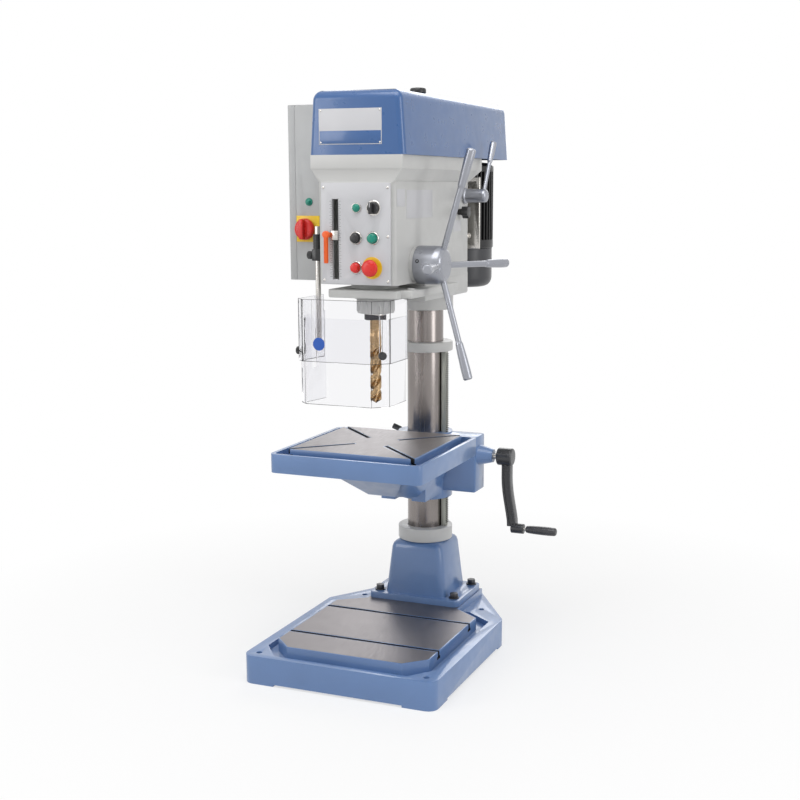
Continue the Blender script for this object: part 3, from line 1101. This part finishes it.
def motor_group():
    centre = (MOTOR_X, MOTOR_Y)
    low, high = MOTOR_Z
    body = drum("motor_body", MOTOR_RADIUS, high - low, BLACK, at=(*centre, low), steps=MOTOR_SIDES, chamfer=0.006)
    plate_low, plate_high = MOTOR_PLATE
    pad = hidden(box, "motor_pad", (MOTOR_X - 0.060, plate_high[1] + GAP, low + 0.030),
                 (MOTOR_X + 0.060, MOTOR_Y, high - 0.030))
    terminal = hidden(box, "terminal_box", (MOTOR_X - 0.050, MOTOR_Y, 1.340),
                      (MOTOR_X + 0.050, MOTOR_Y + MOTOR_RADIUS + 0.004, 1.440), edge=0.004)
    cut(body, hidden(box, "plate_room", (plate_low[0] - 0.02, 0.1, low - 0.01), (plate_high[0] + 0.02, plate_high[1] + GAP, high + 0.01)))
    join(body, pad, terminal)
    cut(body, bore("shaft_bore", MOTOR_SHAFT_RADIUS + RUN, 0.4, at=(*centre, low + 0.02), steps=SHAFT_SIDES))
    wall = 0.003
    depth = low - GAP - FAN_COVER_BOTTOM_Z
    radius = MOTOR_RADIUS - 0.004
    turned("fan_cover", [(radius - wall, depth), (radius, depth), (radius, 0.030), (radius - 0.010, 0.010),
                         (radius - 0.030, 0), (0.030, 0), (0.030, wall), (radius - 0.030, wall),
                         (radius - 0.010 - wall, 0.012), (radius - wall, 0.030)],
           FAN_GREY, at=(*centre, FAN_COVER_BOTTOM_Z), steps=MOTOR_SIDES, closed=True)
    drum("motor_shaft", MOTOR_SHAFT_RADIUS, PULLEY_Z[1] + 0.006 - low - 0.030, STEEL, at=(*centre, low + 0.024), steps=SHAFT_SIDES,
         chamfer=0.001)
    board = box("motor_plate", plate_low, plate_high, STEEL, edge=0.0015)
    for x in (-GUIDE_ROD_X, GUIDE_ROD_X):
        for z in GUIDE_ROD_ZS:
            join(board, hidden(drum, "guide_rod", GUIDE_ROD_RADIUS, plate_low[1] - HEAD_REAR + 0.055,
                               at=(x, HEAD_REAR - 0.050, z), towards=(0, 1, 0), steps=BORE_SIDES))
    step_pulley("spindle_pulley", SPINDLE_PULLEY_RADII, DRIVE_RADIUS + RUN, (0, SPINDLE_Y))
    step_pulley("motor_pulley", MOTOR_PULLEY_RADII, MOTOR_SHAFT_RADIUS + GAP, centre)
    belt()
    hub_radius, hub_length = TENSION_HUB
    start = HEAD_WIDTH / 2 + GAP
    hub = turned("tension_lever", [(0, hub_length), (hub_radius - 0.006, hub_length), (hub_radius, hub_length - 0.006),
                                   (hub_radius, 0.010), (hub_radius + 0.004, 0.006), (hub_radius + 0.004, 0), (0.009, 0),
                                   (0.009, -0.007), (0, -0.007)],
                 LEVER_GREY, at=(start, TENSION_Y, TENSION_Z), towards=(1, 0, 0))
    root = Vector((start + hub_length - 0.014, TENSION_Y, TENSION_Z))
    along = Vector((0.02, 0.44, 0.87)).normalized()
    join(hub, hidden(turned, "tension_handle", [(0, 0.185), (0.009, 0.185), (0.011, 0.181), (0.008, 0.115), (0.006, 0.113),
                                                 (0.006, 0), (0, 0)], at=root, towards=along, steps=HANDLE_SIDES))
    radius, tall, y, z = TENSION_KNOB
    lobes = []
    points = 30
    for i in range(points):
        angle = 2 * math.pi * i / points
        lobe = radius * (0.86 + 0.14 * math.cos(5 * angle))
        lobes.append((lobe * math.cos(angle), lobe * math.sin(angle)))
    turn = Vector((0, 0, 1)).rotation_difference(Vector((1, 0, 0)))
    knob = plate("tension_knob", lobes, 0.016, tall, BLACK, at=(start, y, z), turn=turn)
    join(knob, hidden(turned, "knob_stem", [(0, 0.020), (0.011, 0.020), (0.009, 0), (0.006, 0), (0.006, -0.007), (0, -0.007)],
                      at=(start, y, z), towards=(1, 0, 0), steps=SHAFT_SIDES))


def belt():
    """Drive belt round the middle steps, seated on the rims of both grooves."""
    first = clear(SPINDLE_PULLEY_RADII[1] + GAP, BELT_TURNS)
    second = clear(MOTOR_PULLEY_RADII[1] + GAP, BELT_TURNS)
    start, end = Vector((0, SPINDLE_Y)), Vector((MOTOR_X, MOTOR_Y))
    along = (end - start).normalized()
    lean = math.acos((first - second) / (end - start).length)
    base = math.atan2(along.y, along.x)

    def loop(extra):
        points = []
        for centre, radius, side in ((start, first + extra, 1), (end, second + extra, -1)):
            half_turn = BELT_TURNS // 2
            for i in range(half_turn + 1):
                if side == 1:
                    angle = base + lean + (2 * math.pi - 2 * lean) * i / half_turn
                else:
                    angle = base - lean + 2 * lean * i / half_turn
                points.append((centre.x + radius * math.cos(angle),
                               centre.y + radius * math.sin(angle)))
        return points

    middle = (PULLEY_Z[0] + PULLEY_Z[1]) / 2
    plate("drive_belt", loop(BELT_THICKNESS), middle - BELT_WIDTH / 2, middle + BELT_WIDTH / 2,
          RUBBER, holes=[loop(0)])


# ---------------------------------------------------------------- spindle guard


def guard_outline(inset):
    """The guard's plan from its left rear end round the front to its right rear end."""
    left, right = GUARD_X[0] + inset, GUARD_X[1] - inset
    front = GUARD_FRONT + inset
    small, large = GUARD_CHAMFER
    rear_left, rear_right = GUARD_REAR
    return [(left, rear_left), (left, front + small), (left + small, front), (right - large, front),
            (right, front + large), (right, rear_right)]


def screen(name, inset, low, high):
    """A clear screen that stands on the guard's plan, inset from its outside."""
    outer = guard_outline(inset)
    inner = guard_outline(inset + GUARD_WALL)
    return plate(name, outer + inner[::-1], low, high, CLEAR)


def chamfer_face():
    """Middle and outward direction of the screen's front right face."""
    points = guard_outline(0)
    first, second = Vector((*points[3], 0)), Vector((*points[4], 0))
    middle = (first + second) / 2
    out = Vector((second.y - first.y, first.x - second.x, 0)).normalized()
    return middle, out


def thumbscrew(name, at, out, stem):
    return turned(name, [(0, 0.018), (0.010, 0.018), (0.012, 0.016), (0.012, 0.004), (0.010, 0.002), (0.005, 0),
                         (0.003, 0), (0.003, -stem), (0, -stem)],
                  BLACK, at=at, towards=out, steps=SHAFT_SIDES)


def guard():
    left_out = GUARD_X[0]
    upper = screen("guard_upper", 0, *GUARD_UPPER_Z)
    sleeve_low = GUARD_UPPER_Z[0] + 0.025
    sleeve = hidden(ring, "guard_sleeve", ROD_RADIUS + RUN, 0.012, GUARD_UPPER_Z[1] - sleeve_low, at=(ROD_X, ROD_Y, sleeve_low),
                    steps=SHAFT_SIDES)
    arm = hidden(box, "sleeve_arm", (left_out + 0.001, ROD_Y - 0.010, sleeve_low + 0.010),
                 (ROD_X - ROD_RADIUS - 0.002, ROD_Y + 0.010, GUARD_UPPER_Z[1] - 0.010))
    join(upper, arm, sleeve)
    low, high = GUARD_SLOT_Z
    middle, out = chamfer_face()
    slot = hidden(box, "guard_slot", (-0.0045, -0.02, low), (0.0045, 0.02, high))
    slot.location = (middle.x, middle.y, 0)
    slot.rotation_euler.z = math.atan2(out.y, out.x) + math.pi / 2
    left_y = GUARD_FRONT + GUARD_CHAMFER[0] + 0.022
    side_slot = hidden(box, "side_slot", (left_out - 0.02, left_y - 0.0045, low), (left_out + 0.002 + GUARD_WALL, left_y + 0.0045, high))
    cut(upper, slot, side_slot)
    inset = GUARD_WALL + GAP * 2
    lower = screen("guard_lower", inset, *GUARD_LOWER_Z)
    recess = hidden(box, "sleeve_room", (left_out + 0.001, ROD_Y - 0.018, GUARD_LOWER_Z[0] - 0.1),
                    (ROD_X + 0.02, ROD_Y + 0.018, GUARD_LOWER_Z[1] + 0.1))
    recess.data.transform(Matrix.Translation((0, 0, GUARD_UPPER_Z[0] - GUARD_LOWER_Z[0] + 0.1 - SLEEVE_ROOM)))
    cut(lower, recess)
    hole = 0.003 + GAP
    for at, towards in ((Vector((left_out, left_y, THUMBSCREW_Z)), Vector((-1, 0, 0))),
                        (Vector((middle.x, middle.y, THUMBSCREW_Z)), out)):
        cut(lower, bore("screw_hole", hole, 0.06, at=at - towards * 0.03, towards=towards, steps=BORE_SIDES))
    stem = 2 * GUARD_WALL + 0.0016
    thumbscrew("guard_knob_left", Vector((left_out - GAP, left_y, THUMBSCREW_Z)), (-1, 0, 0), stem)
    thumbscrew("guard_knob_right", Vector((middle.x, middle.y, THUMBSCREW_Z)) + out * GAP, out, stem)
    rod_low, rod_high = ROD_Z
    drum("guard_rod", ROD_RADIUS, rod_high - rod_low, STEEL, at=(ROD_X, ROD_Y, rod_low), steps=SHAFT_SIDES, chamfer=0.001)
    low, high = BRACKET_Z
    side = -HEAD_WIDTH / 2 - GAP
    bracket = box("guard_bracket", (ROD_X - 0.014, ROD_Y - 0.013, low), (side, ROD_Y + 0.013, low + 0.034), BLACK, edge=0.002)
    join(bracket, hidden(drum, "bracket_barrel", 0.0135, high - low, at=(ROD_X, ROD_Y, low), steps=SHAFT_SIDES, chamfer=0.001))
    cut(bracket, bore("bracket_bore", ROD_RADIUS + RUN, 0.2, at=(ROD_X, ROD_Y, low - 0.05), steps=SHAFT_SIDES))
    knob_at = Vector((ROD_X - 0.014 - GAP, ROD_Y, low + 0.016))
    cut(bracket, bore("knob_thread", 0.003 + GAP, 0.02, at=knob_at - Vector((0.004, 0, 0)), towards=(1, 0, 0), steps=BORE_SIDES))
    thumbscrew("guard_bracket_knob", knob_at, (-1, 0, 0), 0.005)


# ---------------------------------------------------------------- the whole machine


def centre_frame():
    """Moves the frame so that the origin is the middle of the object's base."""
    bpy.context.view_layer.update()
    graph = bpy.context.evaluated_depsgraph_get()
    points = []
    for obj in PARTS.objects:
        if obj.type == "MESH":
            evaluated = obj.evaluated_get(graph)
            points += [evaluated.matrix_world @ vertex.co for vertex in evaluated.data.vertices]
    low = [min(point[i] for point in points) for i in range(3)]
    high = [max(point[i] for point in points) for i in range(3)]
    FRAME.location = (-(low[0] + high[0]) / 2, -(low[1] + high[1]) / 2, -low[2])
    bpy.context.view_layer.update()


base_plate()
column_foot()
column()
collars()
rack()
table()
table_clamp_lever()
lift_drive()
head_casting()
control_panel()
controls()
cabinet()
belt_cover()
quill_group()
feed_group()
motor_group()
guard()
centre_frame()
